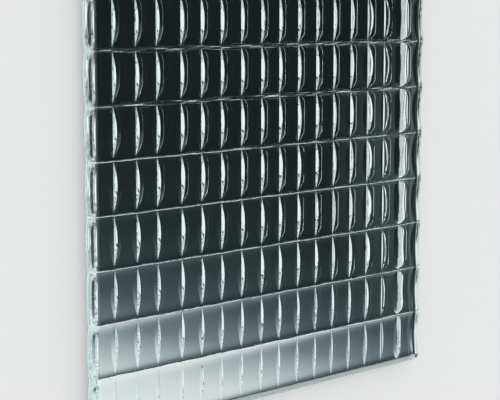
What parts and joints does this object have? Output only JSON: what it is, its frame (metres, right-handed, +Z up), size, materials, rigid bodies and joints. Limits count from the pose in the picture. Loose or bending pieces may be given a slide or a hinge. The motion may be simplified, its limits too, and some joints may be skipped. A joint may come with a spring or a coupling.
{
  "type": "cast glass panel",
  "caption": "Clear, faintly aqua cast glass panel: one smooth face, and a back of raised pads in rows and columns with lens-shaped grooves that scatter light.",
  "frame": {"origin": "centre of the panel's outline, on the plane of the pads that it lies on", "axes": "+Z up out of the smooth face, +X along the rows of pads, +Y along the columns of pads towards the picture's top"},
  "size_m": [0.3, 0.3, 0.01],
  "materials": {
    "glass": "clear with a faint aqua tint, fire-polished face and kiln-cast back"
  },
  "bodies": {
    "root": {"glass_panel": "glass"}
  },
  "joints": []
}
